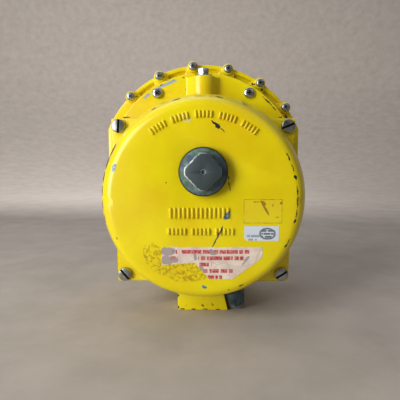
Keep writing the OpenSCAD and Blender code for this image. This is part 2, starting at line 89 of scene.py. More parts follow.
class ActuatorSizes(bpy.types.PropertyGroup):
    """Sizes that the looks add to the model"""
    cast_edge: size("Cast edge", "Round on the outer edges of the castings", 1.0 * MM)
    small_edge: size("Small edge", "Round on the edges of machined pieces", 0.35 * MM)
    mark_height: size("Mark height", "How far the cast marks stand off the lid", 1.6 * MM)
    mark_radius: size("Mark radius", "Radius of the arc of marks on the lid", 71 * MM)


class ActuatorColours(bpy.types.PropertyGroup):
    """Colours of the finishes"""
    enamel: colour("Enamel", "Yellow paint of the castings", "#e8d600")
    enamel_shade: colour("Worn enamel", "Yellow paint where it has dulled", "#e0c400")
    primer: colour("Primer", "Dark coat that shows where the paint is chipped", "#1f1a1c")
    bare: colour("Bare metal", "Aluminium where all the paint is gone", "#7f93a0")
    steel: colour("Spindle steel", "Oxidised steel of the spindle", "#3f494b")
    paper: colour("Notice", "Face of the torn notice label", "#e6dac6")
    ink: colour("Notice ink", "Print of the notice label", "#b81f38")
    vinyl: colour("Sticker", "Face of the small sticker", "#dde4ee")
    floor: colour("Floor", "Floor and backdrop", "#b7ada5")


def sizes():
    return bpy.context.scene.actuator_sizes


def colours():
    return bpy.context.scene.actuator_colours


# ---------------------------------------------------------------- materials

def add(tree, kind, inputs=None, **settings):
    """Adds a shader node with its settings. An input is a value, or a node or socket to link from."""
    node = tree.nodes.new("ShaderNode" + kind)
    for key, value in settings.items():
        setattr(node, key, value)
    for key, value in (inputs or {}).items():
        if isinstance(value, bpy.types.Node):
            value = value.outputs[0]
        if isinstance(value, bpy.types.NodeSocket):
            tree.links.new(value, node.inputs[key])
        else:
            node.inputs[key].default_value = value
    return node


def start(name):
    """A new material: its tree, its shader, and the object coordinates in millimetres."""
    mat = bpy.data.materials.new(name)
    mat.use_nodes = True
    tree = mat.node_tree
    shader = tree.nodes["Principled BSDF"]
    place = add(tree, "VectorMath", {0: add(tree, "TexCoord").outputs["Object"], "Scale": 1000.0},
                operation="SCALE")
    return mat, tree, shader, place.outputs[0]


def finish(tree, shader, **inputs):
    for key, value in inputs.items():
        socket = shader.inputs[key.replace("_", " ")]
        if isinstance(value, bpy.types.Node):
            value = value.outputs[0]
        if isinstance(value, bpy.types.NodeSocket):
            tree.links.new(value, socket)
        else:
            socket.default_value = value


def spots(tree, place, marks, ragged=1.6, grain=0.5):
    """A mask of ragged spots. Each is (x, y, z, length, width, turn) in millimetres and degrees,
    turned in the X-Z plane."""
    noise = add(tree, "TexNoise", {"Vector": place, "Scale": grain, "Detail": 3.0, "Roughness": 0.7})
    shift = add(tree, "VectorMath", {0: noise.outputs["Color"], 1: (-0.5, -0.5, -0.5)})
    warped = add(tree, "VectorMath", {0: shift, "Scale": 2 * ragged}, operation="SCALE")
    warped = add(tree, "VectorMath", {0: warped, 1: place})
    mask = None
    for x, y, z, length, width, turn in marks:
        local = add(tree, "Mapping", {"Vector": warped, "Location": (x, y, z),
                                      "Rotation": (0, -math.radians(turn), 0),
                                      "Scale": (length / 2, 7.0, width / 2)}, vector_type="TEXTURE")
        ball = add(tree, "TexGradient", {"Vector": local}, gradient_type="SPHERICAL")
        mask = ball if mask is None else add(tree, "Math", {0: mask, 1: ball}, operation="MAXIMUM")
    edge = add(tree, "MapRange", {"Value": mask, "From Min": 0.02, "From Max": 0.14})
    return edge.outputs[0]


def box_mask(tree, place, x0, x1, z0, z1, soft=0.25):
    """A mask that is one inside a rectangle of X and Z."""
    local = add(tree, "VectorMath", {0: place, 1: (-(x0 + x1) / 2, 0, -(z0 + z1) / 2)})
    side = add(tree, "VectorMath", {0: local}, operation="ABSOLUTE")
    part = add(tree, "SeparateXYZ", {0: side})
    masks = []
    for out, half in (("X", (x1 - x0) / 2), ("Z", (z1 - z0) / 2)):
        masks.append(add(tree, "MapRange", {"Value": part.outputs[out], "From Min": half,
                                            "From Max": half + soft, "To Min": 1.0, "To Max": 0.0}))
    return add(tree, "Math", {0: masks[0], 1: masks[1]}, operation="MULTIPLY").outputs[0]


def enamel(name, chips=(), scrapes=(), lid=False):
    """Glossy yellow enamel sprayed on cast aluminium: a slight orange peel under the gloss,
    dulled patches, and chips down to the dark primer along the edges."""
    look = colours()
    mat, tree, shader, place = start(name)
    patch = add(tree, "TexNoise", {"Vector": place, "Scale": 0.022, "Detail": 4.0, "Roughness": 0.55})
    dull = add(tree, "MapRange", {"Value": patch, "From Min": 0.38, "From Max": 0.68})
    base = add(tree, "MixRGB", {0: dull, 1: tuple(look.enamel), 2: tuple(look.enamel_shade)})
    # Fine grime in the grain of the casting, coarser than the real dust so that it shows
    speck = add(tree, "TexNoise", {"Vector": place, "Scale": 0.55, "Detail": 5.0, "Roughness": 0.75})
    grime = add(tree, "MapRange", {"Value": speck, "From Min": 0.62, "From Max": 0.80, "To Max": 0.28})
    base = add(tree, "MixRGB", {0: grime, 1: base, 2: srgb("#7d6a10")})
    rough = add(tree, "MapRange", {"Value": patch, "To Min": 0.26, "To Max": 0.36})
    height = add(tree, "TexNoise", {"Vector": place, "Scale": 0.30, "Detail": 2.0})
    lift = height.outputs[0]
    if lid:
        base, lift = lid_marks(tree, place, base, lift)
    # Chips on the rounded edges, a few millimetres long
    wear = add(tree, "Attribute", attribute_name="edge_wear")
    flake = add(tree, "TexNoise", {"Vector": place, "Scale": 0.16, "Detail": 6.0, "Roughness": 0.72})
    flake = add(tree, "MapRange", {"Value": flake, "From Min": 0.635, "From Max": 0.655})
    edge = add(tree, "Math", {0: flake, 1: wear.outputs["Fac"]}, operation="MULTIPLY")
    dark = edge.outputs[0]
    if chips:
        dark = add(tree, "Math", {0: dark, 1: spots(tree, place, chips)}, operation="MAXIMUM").outputs[0]
    base = add(tree, "MixRGB", {0: dark, 1: base, 2: tuple(look.primer)})
    gone = dark
    if scrapes:
        bare = spots(tree, place, scrapes, 1.0, 0.7)
        streak = add(tree, "TexNoise", {"Vector": place, "Scale": 0.9, "Detail": 4.0})
        metal = add(tree, "MixRGB", {0: streak, 1: tuple(look.bare), 2: srgb("#aab4c4")})
        base = add(tree, "MixRGB", {0: bare, 1: base, 2: metal})
        gone = add(tree, "Math", {0: dark, 1: bare}, operation="MAXIMUM").outputs[0]
    coat = add(tree, "Math", {0: 1.0, 1: gone}, operation="SUBTRACT")
    rough = add(tree, "MixRGB", {0: gone, 1: rough, 2: (0.55, 0.55, 0.55, 1)})
    peel = add(tree, "Bump", {"Strength": 0.12, "Distance": 0.0004, "Height": lift})
    step = add(tree, "Bump", {"Strength": 0.8, "Distance": 0.0002, "Height": coat, "Normal": peel})
    finish(tree, shader, Base_Color=base, Roughness=rough, Normal=step, IOR=1.45,
           Coat_Weight=0.15, Coat_Roughness=0.10)
    return mat


def lid_marks(tree, place, base, lift):
    """The painted-over label, the residue of an old label and the scuffs on the lid's face."""
    outer = box_mask(tree, place, 34, 66, -43, -23)
    inner = box_mask(tree, place, 34.5, 65.5, -42.5, -23.5)
    rim = add(tree, "Math", {0: outer, 1: inner}, operation="SUBTRACT")
    break_up = add(tree, "TexNoise", {"Vector": place, "Scale": 0.25, "Detail": 4.0})
    break_up = add(tree, "MapRange", {"Value": break_up, "From Min": 0.36, "From Max": 0.56,
                                      "To Min": 0.25, "To Max": 0.9})
    rim = add(tree, "Math", {0: rim, 1: break_up}, operation="MULTIPLY")
    base = add(tree, "MixRGB", {0: rim, 1: base, 2: srgb("#7d5f08")})
    tone = add(tree, "Math", {0: outer, 1: 0.10}, operation="MULTIPLY")
    base = add(tree, "MixRGB", {0: tone, 1: base, 2: srgb("#f0d85a")})
    lift = add(tree, "Math", {0: outer, 1: lift}, operation="ADD").outputs[0]
    rust = spots(tree, place, on_face((
        (52, -31, 14, 2, -60), (50, -26, 6, 3, -40), (44, -25, 6, 1, 0),
        (65, -26, 3, 2, 60), (62, -38, 3, 1, 0), (58, -28, 3, 1, 70))), 1.0, 0.9)
    rust = add(tree, "Math", {0: rust, 1: 0.8}, operation="MULTIPLY")
    base = add(tree, "MixRGB", {0: rust, 1: base, 2: srgb("#86521f")})
    # Cells of dried glue where the label has torn away
    glue = spots(tree, place, on_face(((-22, -80, 58, 26, -14), (-42, -70, 22, 18, -40),
                                       (-14, -88, 30, 10, 0))), 4.0, 0.10)
    cell = add(tree, "TexNoise", {"Vector": place, "Scale": 0.34, "Detail": 3.0, "Roughness": 0.6,
                                  "Distortion": 0.8})
    film = add(tree, "MapRange", {"Value": cell, "From Min": 0.46, "From Max": 0.58})
    glue = add(tree, "Math", {0: film, 1: glue}, operation="MULTIPLY")
    film = add(tree, "Math", {0: glue, 1: 0.7}, operation="MULTIPLY")
    base = add(tree, "MixRGB", {0: film, 1: base, 2: srgb("#9c7d0c")})
    lift = add(tree, "Math", {0: glue, 1: lift}, operation="ADD").outputs[0]
    # Marks left by something blue and something dark
    blue = spots(tree, place, on_lid(79, ((-70, 8, 4),)) + on_face(
        ((20, -36, 9, 3, 56), (19, -38, 6, 4, 0), (1, -98, 5, 3, -20))), 1.0, 0.8)
    tint = add(tree, "TexNoise", {"Vector": place, "Scale": 0.5, "Detail": 3.0})
    tint = add(tree, "MapRange", {"Value": tint, "From Min": 0.35, "From Max": 0.62})
    tint = add(tree, "MixRGB", {0: tint, 1: srgb("#2d4a63"), 2: srgb("#7f9fae")})
    base = add(tree, "MixRGB", {0: blue, 1: base, 2: tint})
    line = spots(tree, place, on_face([(15 - 2.5 * i, -49 - 5 * i, 8, 2 - i / 3, 66) for i in range(4)]),
                 0.7, 0.8)
    line = add(tree, "Math", {0: line, 1: 0.9}, operation="MULTIPLY")
    base = add(tree, "MixRGB", {0: line, 1: base, 2: srgb("#453c48")})
    pale = spots(tree, place, on_face(((-13, 42, 8, 4, 10), (-16, 46, 4, 3, 30))), 1.6, 0.6)
    pale = add(tree, "Math", {0: pale, 1: 0.4}, operation="MULTIPLY")
    base = add(tree, "MixRGB", {0: pale, 1: base, 2: srgb("#d8d0a0")})
    return base, lift


def metal(name, tone, shade, rough=0.35, metallic=1.0, grain=0.8, bump=0.15, blotch=0.06, wear=None):
    """A metal with blotches of a second tone, a fine surface, painted shade on the walls of screw recesses
    and, if wear is given, bright edges.
    """
    mat, tree, shader, place = start(name)
    cloud = add(tree, "TexNoise", {"Vector": place, "Scale": blotch, "Detail": 5.0, "Roughness": 0.65})
    cloud = add(tree, "MapRange", {"Value": cloud, "From Min": 0.38, "From Max": 0.64})
    base = add(tree, "MixRGB", {0: cloud, 1: tone, 2: shade})
    fine = add(tree, "TexNoise", {"Vector": place, "Scale": grain, "Detail": 4.0, "Roughness": 0.7})
    if wear:
        edge = add(tree, "Attribute", attribute_name="edge_wear")
        rub = add(tree, "MapRange", {"Value": fine, "From Min": 0.36, "From Max": 0.56})
        rub = add(tree, "Math", {0: rub, 1: edge.outputs["Fac"]}, operation="MULTIPLY")
        base = add(tree, "MixRGB", {0: rub, 1: base, 2: wear})
    # Painted shade: faces left by the recess cutters are darkened nearly to black
    painted_recess_shade = add(tree, "Attribute", attribute_name="recess_shade")
    painted_recess_shade = add(tree, "Math", {0: painted_recess_shade.outputs["Fac"], 1: 0.93}, operation="MULTIPLY")
    base = add(tree, "MixRGB", {0: painted_recess_shade, 1: base, 2: srgb("#14130f")})
    dull = add(tree, "MapRange", {"Value": fine, "From Min": 0.3, "From Max": 0.7,
                                  "To Min": rough * 0.8, "To Max": min(1.0, rough * 1.3)})
    relief = add(tree, "Bump", {"Strength": bump, "Distance": 0.0002, "Height": fine})
    finish(tree, shader, Base_Color=base, Roughness=dull, Normal=relief, Metallic=metallic)
    return mat


def oxidised_steel():
    """Turned steel under a dark oxide: an even slate face on the square, a mottled blue and green
    shoulder with painted shade towards its right and a painted dark edge at its rim, and bright scrapes
    along the edges that a spanner has rubbed, kept brightest as painted highlight on the lit left side."""
    mat, tree, shader, place = start("oxidised_spindle_steel")
    flat = add(tree, "VectorMath", {0: place, 1: (1, 0, 1)}, operation="MULTIPLY")
    radius = add(tree, "VectorMath", {0: flat}, operation="LENGTH").outputs["Value"]
    part = add(tree, "SeparateXYZ", {0: place})
    blotch = add(tree, "TexNoise", {"Vector": place, "Scale": 0.16, "Detail": 5.0, "Roughness": 0.7})
    patch = add(tree, "MapRange", {"Value": blotch, "From Min": 0.40, "From Max": 0.60})
    green = add(tree, "TexNoise", {"Vector": place, "Scale": 0.22, "Detail": 3.0})
    green = add(tree, "MapRange", {"Value": green, "From Min": 0.50, "From Max": 0.62})
    ring = add(tree, "MixRGB", {0: patch, 1: srgb("#425162"), 2: srgb("#6d857f")})
    ring = add(tree, "MixRGB", {0: green, 1: ring, 2: srgb("#4f6a4c")})
    # Painted shade: the shoulder ring darkens towards its right, away from the light
    painted_shade_right = add(tree, "MapRange", {"Value": part.outputs["X"], "From Min": -2.0, "From Max": 16.0,
                                    "To Max": 0.55})
    ring = add(tree, "MixRGB", {0: painted_shade_right, 1: ring, 2: srgb("#2b3340")})
    face = add(tree, "MixRGB", {0: patch, 1: tuple(colours().steel), 2: srgb("#3f4a4c")})
    on_shoulder = add(tree, "MapRange", {"Value": part.outputs["Y"], "From Min": -145.0,
                                         "From Max": -144.0})
    base = add(tree, "MixRGB", {0: on_shoulder, 1: face, 2: ring})
    # Painted shade and dark reflection on the rounded outer edge of the shoulder
    rim = add(tree, "MapRange", {"Value": radius, "From Min": 18.9, "From Max": 19.3})
    base = add(tree, "MixRGB", {0: rim, 1: base, 2: srgb("#1d1a10")})
    edge = add(tree, "Attribute", attribute_name="edge_wear")
    rub = add(tree, "TexNoise", {"Vector": place, "Scale": 0.22, "Detail": 5.0, "Roughness": 0.7})
    rub = add(tree, "MapRange", {"Value": rub, "From Min": 0.40, "From Max": 0.52})
    # Painted highlight: the bright scrapes are full only on the lit left side and fade to a trace towards
    # the right
    left = add(tree, "MapRange", {"Value": part.outputs["X"], "From Min": 4.0, "From Max": -8.0,
                                  "To Min": 0.12})
    inner = add(tree, "Math", {0: radius, 1: 17.0}, operation="LESS_THAN")
    rub = add(tree, "Math", {0: rub, 1: edge.outputs["Fac"]}, operation="MULTIPLY")
    rub = add(tree, "Math", {0: rub, 1: left}, operation="MULTIPLY")
    rub = add(tree, "Math", {0: rub, 1: inner}, operation="MULTIPLY")
    base = add(tree, "MixRGB", {0: rub, 1: base, 2: srgb("#c3cbc9")})
    fine = add(tree, "TexNoise", {"Vector": place, "Scale": 0.8, "Detail": 4.0, "Roughness": 0.7})
    dull = add(tree, "MapRange", {"Value": fine, "From Min": 0.3, "From Max": 0.7, "To Min": 0.42,
                                  "To Max": 0.62})
    relief = add(tree, "Bump", {"Strength": 0.35, "Distance": 0.0002, "Height": blotch})
    finish(tree, shader, Base_Color=base, Roughness=dull, Normal=relief, Metallic=0.35)
    return mat


def plastic(name, tone, shade, rough=0.45, grain=1.2, bump=0.08, ior=1.5):
    """A moulded plastic or rubber: nearly even in colour, with a fine moulded skin."""
    mat, tree, shader, place = start(name)
    cloud = add(tree, "TexNoise", {"Vector": place, "Scale": 0.08, "Detail": 3.0})
    base = add(tree, "MixRGB", {0: cloud, 1: tone, 2: shade})
    fine = add(tree, "TexNoise", {"Vector": place, "Scale": grain, "Detail": 3.0})
    dull = add(tree, "MapRange", {"Value": fine, "To Min": rough * 0.8, "To Max": min(1.0, rough * 1.2)})
    relief = add(tree, "Bump", {"Strength": bump, "Distance": 0.0001, "Height": fine})
    finish(tree, shader, Base_Color=base, Roughness=dull, Normal=relief, IOR=ior)
    return mat


def printed_bars(tree, place, rows, gap=0.36):
    """A mask of rows of dashes of uneven length. Each row is (x0, x1, z, height)."""
    ink = None
    for i, (x0, x1, z, high) in enumerate(rows):
        row = box_mask(tree, place, x0, x1, z - high / 2, z + high / 2, 0.3)
        shifted = add(tree, "VectorMath", {0: place, 1: (i * 37.0, 0, 0)})
        part = add(tree, "SeparateXYZ", {0: shifted})
        dash = add(tree, "TexNoise", {"W": part.outputs["X"], "Scale": 0.42, "Detail": 1.0},
                   noise_dimensions="1D")
        dash = add(tree, "MapRange", {"Value": dash.outputs[0], "From Min": gap, "From Max": gap + 0.05})
        row = add(tree, "Math", {0: row, 1: dash}, operation="MULTIPLY")
        ink = row if ink is None else add(tree, "Math", {0: ink, 1: row}, operation="MAXIMUM")
    return ink


def notice_paper():
    """Paper notice under a worn varnish: creamy face, red dashes for print, a brown border and
    a left part whose face has torn off and shows grey fibres."""
    look = colours()
    mat, tree, shader, place = start("varnished_notice_paper")
    cloud = add(tree, "TexNoise", {"Vector": place, "Scale": 0.09, "Detail": 6.0, "Roughness": 0.7})
    cloud = add(tree, "MapRange", {"Value": cloud, "From Min": 0.35, "From Max": 0.65})
    base = add(tree, "MixRGB", {0: cloud, 1: tuple(look.paper), 2: srgb("#d0bab0")})
    crack = add(tree, "TexVoronoi", {"Vector": place, "Scale": 0.05}, feature="DISTANCE_TO_EDGE")
    crack = add(tree, "MapRange", {"Value": crack, "From Min": 0.0, "From Max": 0.03, "To Min": 0.28,
                                   "To Max": 0.0})
    base = add(tree, "MixRGB", {0: crack, 1: base, 2: srgb("#8c7f86")})
    spans = ((0, -18, 39), (1, -4, 34), (2, -3, 7), (3, 1, 25), (4, 4, 16), (0, -27, -22), (1, -28, -22))
    rows = [(x0, x1, -67.5 - 5.5 * line, 3.0) for line, x0, x1 in spans]
    ink = printed_bars(tree, place, rows)
    fade = add(tree, "TexNoise", {"Vector": place, "Scale": 0.5, "Detail": 3.0})
    fade = add(tree, "MapRange", {"Value": fade, "From Min": 0.25, "From Max": 0.6, "To Min": 0.45})
    ink = add(tree, "Math", {0: ink, 1: fade}, operation="MULTIPLY")
    base = add(tree, "MixRGB", {0: ink, 1: base, 2: tuple(look.ink)})
    torn = spots(tree, place, on_face(((-30, -67, 14, 9, 0), (-31, -75, 11, 9, 0), (-24, -75, 8, 5, 0),
                                       (-7, -72, 4, 6, -10), (8, -68, 5, 8, 60), (-1, -84, 6, 9, 20),
                                       (36, -75, 12, 2, 50))), 3.0, 0.20)
    fibre = add(tree, "TexNoise", {"Vector": place, "Scale": 0.45, "Detail": 6.0, "Roughness": 0.75})
    fibre = add(tree, "MixRGB", {0: fibre, 1: srgb("#8a7a80"), 2: srgb("#a59a96")})
    torn = add(tree, "Math", {0: torn, 1: 0.85}, operation="MULTIPLY")
    base = add(tree, "MixRGB", {0: torn, 1: base, 2: fibre})
    wear = add(tree, "Attribute", attribute_name="edge_wear")
    base = add(tree, "MixRGB", {0: wear.outputs["Fac"], 1: base, 2: srgb("#7c4a34")})
    relief = add(tree, "Bump", {"Strength": 0.3, "Distance": 0.0002, "Height": cloud})
    rough = add(tree, "MapRange", {"Value": cloud, "To Min": 0.38, "To Max": 0.6})
    finish(tree, shader, Base_Color=base, Roughness=rough, Normal=relief, IOR=1.45)
    return mat


def sticker_vinyl():
    """Printed vinyl sticker: bluish white, faint grey strokes at the left and a dark oval
    with dashes in it."""
    mat, tree, shader, place = start("printed_vinyl")
    cloud = add(tree, "TexNoise", {"Vector": place, "Scale": 0.12, "Detail": 4.0})
    base = add(tree, "MixRGB", {0: cloud, 1: tuple(colours().vinyl), 2: srgb("#c6cfdb")})
    grey = printed_bars(tree, place, ((37, 47, -54, 1.6), (38, 45, -57, 1.2)), 0.30)
    grey = add(tree, "Math", {0: grey, 1: 0.7}, operation="MULTIPLY")
    base = add(tree, "MixRGB", {0: grey, 1: base, 2: srgb("#6f7d76")})
    oval = spots(tree, place, on_face(((54, -52, 15, 11, 0),)), 0.8, 0.3)
    core = spots(tree, place, on_face(((54, -52, 12, 8, 0),)), 0.8, 0.3)
    ring = add(tree, "Math", {0: oval, 1: core}, operation="SUBTRACT")
    dash = printed_bars(tree, place, [(49, 59, -49.5 - 2.5 * i, 1.3) for i in range(3)], 0.34)
    ring = add(tree, "Math", {0: ring, 1: dash}, operation="MAXIMUM")
    ring = add(tree, "Math", {0: ring, 1: 0.88}, operation="MULTIPLY")
    base = add(tree, "MixRGB", {0: ring, 1: base, 2: srgb("#3c4b50")})
    rough = add(tree, "MapRange", {"Value": cloud, "To Min": 0.25, "To Max": 0.45})
    finish(tree, shader, Base_Color=base, Roughness=rough, IOR=1.5)
    return mat


def floor_paper():
    """Matt backdrop paper: even, with a faint fibre."""
    mat, tree, shader, place = start("backdrop_paper")
    fibre = add(tree, "TexNoise", {"Vector": place, "Scale": 0.02, "Detail": 6.0, "Roughness": 0.6})
    fibre = add(tree, "MapRange", {"Value": fibre, "From Min": 0.3, "From Max": 0.7})
    base = add(tree, "MixRGB", {0: fibre, 1: tuple(colours().floor), 2: srgb("#a89f97")})
    finish(tree, shader, Base_Color=base, Roughness=0.85)
    return mat


# ---------------------------------------------------------------- modelling helpers

def clear():
    if bpy.context.mode != "OBJECT":
        bpy.ops.object.mode_set(mode="OBJECT")
    bpy.ops.object.select_all(action="DESELECT")


def pick(obj):
    clear()
    obj.select_set(True)
    bpy.context.view_layer.objects.active = obj
    return obj


def edit(obj, mode="EDGE"):
    pick(obj)
    bpy.ops.object.mode_set(mode="EDIT")
    bpy.ops.mesh.select_mode(type=mode)


def leave():
    bpy.ops.object.mode_set(mode="OBJECT")


def place_mesh(obj):
    """Puts the object's place into its mesh, so that the object is at the origin."""
    pick(obj)
    bpy.ops.object.transform_apply(location=True, rotation=True, scale=True)
    return obj


def shade(obj, angle=32):
    pick(obj)
    bpy.ops.object.shade_smooth_by_angle(angle=math.radians(angle), keep_sharp_edges=False)
    return obj


def settle(obj, body, slot, material, *nodes, name=None):
    """Gives a finished piece its material, its body and the CAD nodes that it stands for."""
    if name:
        obj.name = name
        obj.data.name = name
    obj.data.materials.clear()
    obj.data.materials.append(material)
    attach(obj, body)
    if nodes:
        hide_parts(*nodes)
    return obj


def copy_node(node, name):
    """A copy of a CAD node with its triangles merged into whole faces."""
    pick(NODES[node])
    bpy.ops.object.duplicate()
    piece = bpy.context.object
    piece.parent = None
    for key in list(piece.keys()):
        del piece[key]
    piece.name = piece.data.name = name
    piece.hide_render = False
    piece.hide_viewport = False
    edit(piece)
    bpy.ops.mesh.select_all(action="SELECT")
    bpy.ops.mesh.remove_doubles(threshold=0.01 * MM)
    bpy.ops.mesh.dissolve_limited(angle_limit=math.radians(0.6))
    leave()
    return piece


def round_edges(piece, width, segments=3, angle=35, keep=None):
    """Rounds the sharp edges of a merged piece, all or those that keep() takes by their middle,
    and marks the rounds that stand out in the attribute edge_wear."""
    edit(piece)
    bpy.ops.mesh.select_all(action="DESELECT")
    bpy.ops.mesh.edges_select_sharp(sharpness=math.radians(angle))
    leave()
    mesh = piece.data
    if keep:
        corner = [v.co for v in mesh.vertices]
        for e in mesh.edges:
            if e.select:
                a, b = (corner[i] for i in e.vertices)
                e.select = bool(keep((a + b) / 2 / MM, (b - a) / MM))
        for p in mesh.polygons:
            p.select = False
        for v in mesh.vertices:
            v.select = False
        for e in mesh.edges:
            if e.select:
                for i in e.vertices:
                    mesh.vertices[i].select = True
    edit(piece)
    bpy.ops.mesh.bevel(offset=width, segments=segments, affect="EDGES", clamp_overlap=False)
    leave()
    wear = mesh.attributes.new("edge_wear", "FLOAT", "FACE")
    hull = convex_faces(mesh)
    wear.data.foreach_set("value", [1.0 if p.select and p.index in hull else 0.0 for p in mesh.polygons])
    return shade(piece)


def convex_faces(mesh):
    """The faces that have an edge at which the surface turns outwards."""
    owner = {}
    for p in mesh.polygons:
        for key in p.edge_keys:
            owner.setdefault(key, []).append(p.index)
    found = set()
    for faces in owner.values():
        if len(faces) == 2:
            p, q = (mesh.polygons[i] for i in faces)
            if p.normal.dot(q.normal) < 0.995 and (q.center - p.center).dot(p.normal) < 0:
                found.update(faces)
    return found


def modify(obj, kind, **settings):
    pick(obj)
    mod = obj.modifiers.new(kind, kind)
    for key, value in settings.items():
        setattr(mod, key, value)
    bpy.ops.object.modifier_apply(modifier=mod.name)
    return obj


def cut(obj, tool, operation="DIFFERENCE"):
    modify(obj, "BOOLEAN", object=tool, operation=operation, solver="EXACT")
    bpy.data.objects.remove(tool, do_unlink=True)
    return obj


def facing_cylinder(radius, front, back, x=0.0, z=0.0, sides=48):
    """A cylinder along Y between two depths, all in millimetres, with its place in its mesh."""
    clear()
    bpy.ops.mesh.primitive_cylinder_add(vertices=sides, radius=radius * MM, depth=(front - back) * MM,
                                        location=(x * MM, -(front + back) / 2 * MM, z * MM),
                                        rotation=(math.pi / 2, 0, 0))
    return place_mesh(bpy.context.object)


def block(low, high):
    """A cuboid between two corners in millimetres."""
    clear()
    middle = [(a + b) / 2 * MM for a, b in zip(low, high)]
    bpy.ops.mesh.primitive_cube_add(size=1, location=middle)
    obj = bpy.context.object
    obj.scale = [(b - a) * MM for a, b in zip(low, high)]
    return place_mesh(obj)


def front_face(obj):
    """Leaves the piece in edit mode with only its foremost face selected."""
    edit(obj, "FACE")
    bpy.ops.mesh.select_all(action="DESELECT")
    leave()
    best = min(obj.data.polygons, key=lambda p: (round(p.center.y, 6), -p.area))
    best.select = True
    edit(obj, "FACE")


def spread(master, spots_at, turns, name):
    """Copies a master screw made on the Y axis at depth zero to each (x, y, z) in metres, turned
    about its own axis, and joins the copies. Each copy has its own mesh."""
    made = []
    for at, turn in zip(spots_at, turns):
        pick(master)
        bpy.ops.object.duplicate()
        one = bpy.context.object
        one.rotation_euler = (0, math.radians(turn), 0)
        one.location = at
        made.append(place_mesh(one))
    clear()
    for one in made:
        one.select_set(True)
    bpy.context.view_layer.objects.active = made[0]
    bpy.ops.object.join()
    bpy.data.objects.remove(master, do_unlink=True)
    made[0].name = made[0].data.name = name
    return made[0]


def islands(node, radius):
    """The (x, z) middles in metres of a node's separate screws, whose heads have that radius in
    millimetres."""
    groups = []
    for v in NODES[node].data.vertices:
        p = Vector((v.co.x, v.co.z))
        for g in groups:
            if (g[0] - p).length < (2 * radius + 0.4) * MM:
                g[1].append(p)
                break
        else:
            groups.append([p, [p]])
    found = []
    for _, pts in groups:
        xs, zs = [p.x for p in pts], [p.y for p in pts]
        found.append(((min(xs) + max(xs)) / 2, (min(zs) + max(zs)) / 2))
    return found


# ---------------------------------------------------------------- the pieces

def lid_depth(radius):
    """Y in millimetres of the lid's surface at a radius: the flat face, its round, then the side."""
    out = max(0.0, radius - LID_FACE_R)
    end = LID_ROUND * math.cos(LID_DRAFT)
    if out <= end:
        return FACE_Y / MM + LID_ROUND - math.sqrt(LID_ROUND ** 2 - out ** 2)
    return FACE_Y / MM + LID_ROUND * (1 - math.sin(LID_DRAFT)) + (out - end) / math.tan(LID_DRAFT)


def on_arc(middle_z, radius, y, marks):
    """Marks that lie along a round edge. Each is (degrees clockwise from the top, length, width)."""
    placed = []
    for angle, length, width in marks:
        a = math.radians(angle)
        placed.append((radius * math.sin(a), y, middle_z + radius * math.cos(a), length, width, -angle))
    return placed


def on_lid(radius, marks):
    return on_arc(LID_Z / MM, radius, lid_depth(radius), marks)


def on_face(marks):
    """Marks on the lid's flat face. Each is (x, z, length, width, turn)."""
    return [(x, FACE_Y / MM, z, length, width, turn) for x, z, length, width, turn in marks]


def casing_chips():
    """Knocks round the raised face, on the flange where a tool has slipped and at the low block's left
    corner, and a broken dark line along the low block's bottom edge.
    """
    raised = on_arc(0, 90, RAISED_Y / MM, ((-26, 4, 2), (-20, 9, 1), (-12, 3, 1), (43, 15, 1), (49, 5, 1)))
    flange = on_arc(0, 99, LEDGE_Y / MM, ((-42, 3, 1), (30, 4, 2), (36, 3, 2), (57, 6, 2)))
    sides = [(side * 74, RAISED_Y / MM, 51, length, 1, 0) for side, length in ((-1, 10), (1, 4))]
    # A broken dark line just above the floor along the low block's front face
    block = [(x, EAR_Y / MM, FLOOR_Z / MM + 1, 5, 1, 0) for x in (-20, -9, 2, 14)]
    block += [(-24, EAR_Y / MM, z, 3, 3, 0) for z in (-131, -119)]
    return raised + flange + sides + block


def casing_scrapes():
    """Three long scrapes to bare metal at the upper left of the raised face."""
    return on_arc(0, 89, RAISED_Y / MM, ((-22, 21, 3), (-28, 5, 3), (-37, 8, 3)))


def lid_chips():
    """Knocks along the lid: long ones on its left side, short ones on the round at its right."""
    left = on_lid(90, [(-62 - 8 * i, 14 - i, 4 - i / 3) for i in range(6)])
    right = on_lid(79, ((63, 8, 1), (70, 7, 1), (76, 4, 3), (84, 9, 1), (91, 11, 1), (98, 8, 1),
                        (103, 4, 2)))
    top = on_lid(88, ((-29, 5, 2), (-15, 8, 2), (-2, 9, 1), (9, 8, 2), (24, 6, 1)))
    low = on_lid(80, ((116, 7, 1), (119, 4, 2), (-114, 3, 1), (156, 5, 1), (164, 2, 1)))
    face = on_face(((10, 39, 10, 2, -38), (12, 37, 5, 4, -50), (16, 34, 5, 1, -50),
                    (21, -5, 4, 1, -80), (22, -12, 9, 1, -76), (-31, -9, 1, 1, 0)))
    return left + right + top + low + face


def outside(middle, edge):
    """True for the edges of the casings that are seen: none of the chamber or the screw holes."""
    x, y, z = middle
    if math.hypot(x, z) < 89.5 and -78.5 < y < -14.5 and z > -60 and abs(z) + abs(x) < 130:
        return math.hypot(x, z) > 89 or abs(x) > 80
    for bx, bz in bolts():
        if math.hypot(x - bx, z - bz) < 3.2:
            return False
    return math.hypot(x, z) > 26


def bolts():
    if not hasattr(bolts, "at"):
        bolts.at = [(x / MM, z / MM) for x, z in islands("casing_screws", 4.0)]
    return bolts.at


class ACTUATOR_OT_castings(bpy.types.Operator):
    """Round the edges of the painted castings and give them their enamel"""
    bl_idname = "actuator.castings"
    bl_label = "Castings"

    def execute(self, context):
        paint = enamel("yellow_enamel_casing", casing_chips(), casing_scrapes())
        for node in ("casing_front", "casing_rear", "switch_base"):
            piece = copy_node(node, node + "_enamelled")
            round_edges(piece, sizes().cast_edge, keep=outside)
            settle(piece, "housing", "yellow_enamel", paint, node)
        return {"FINISHED"}


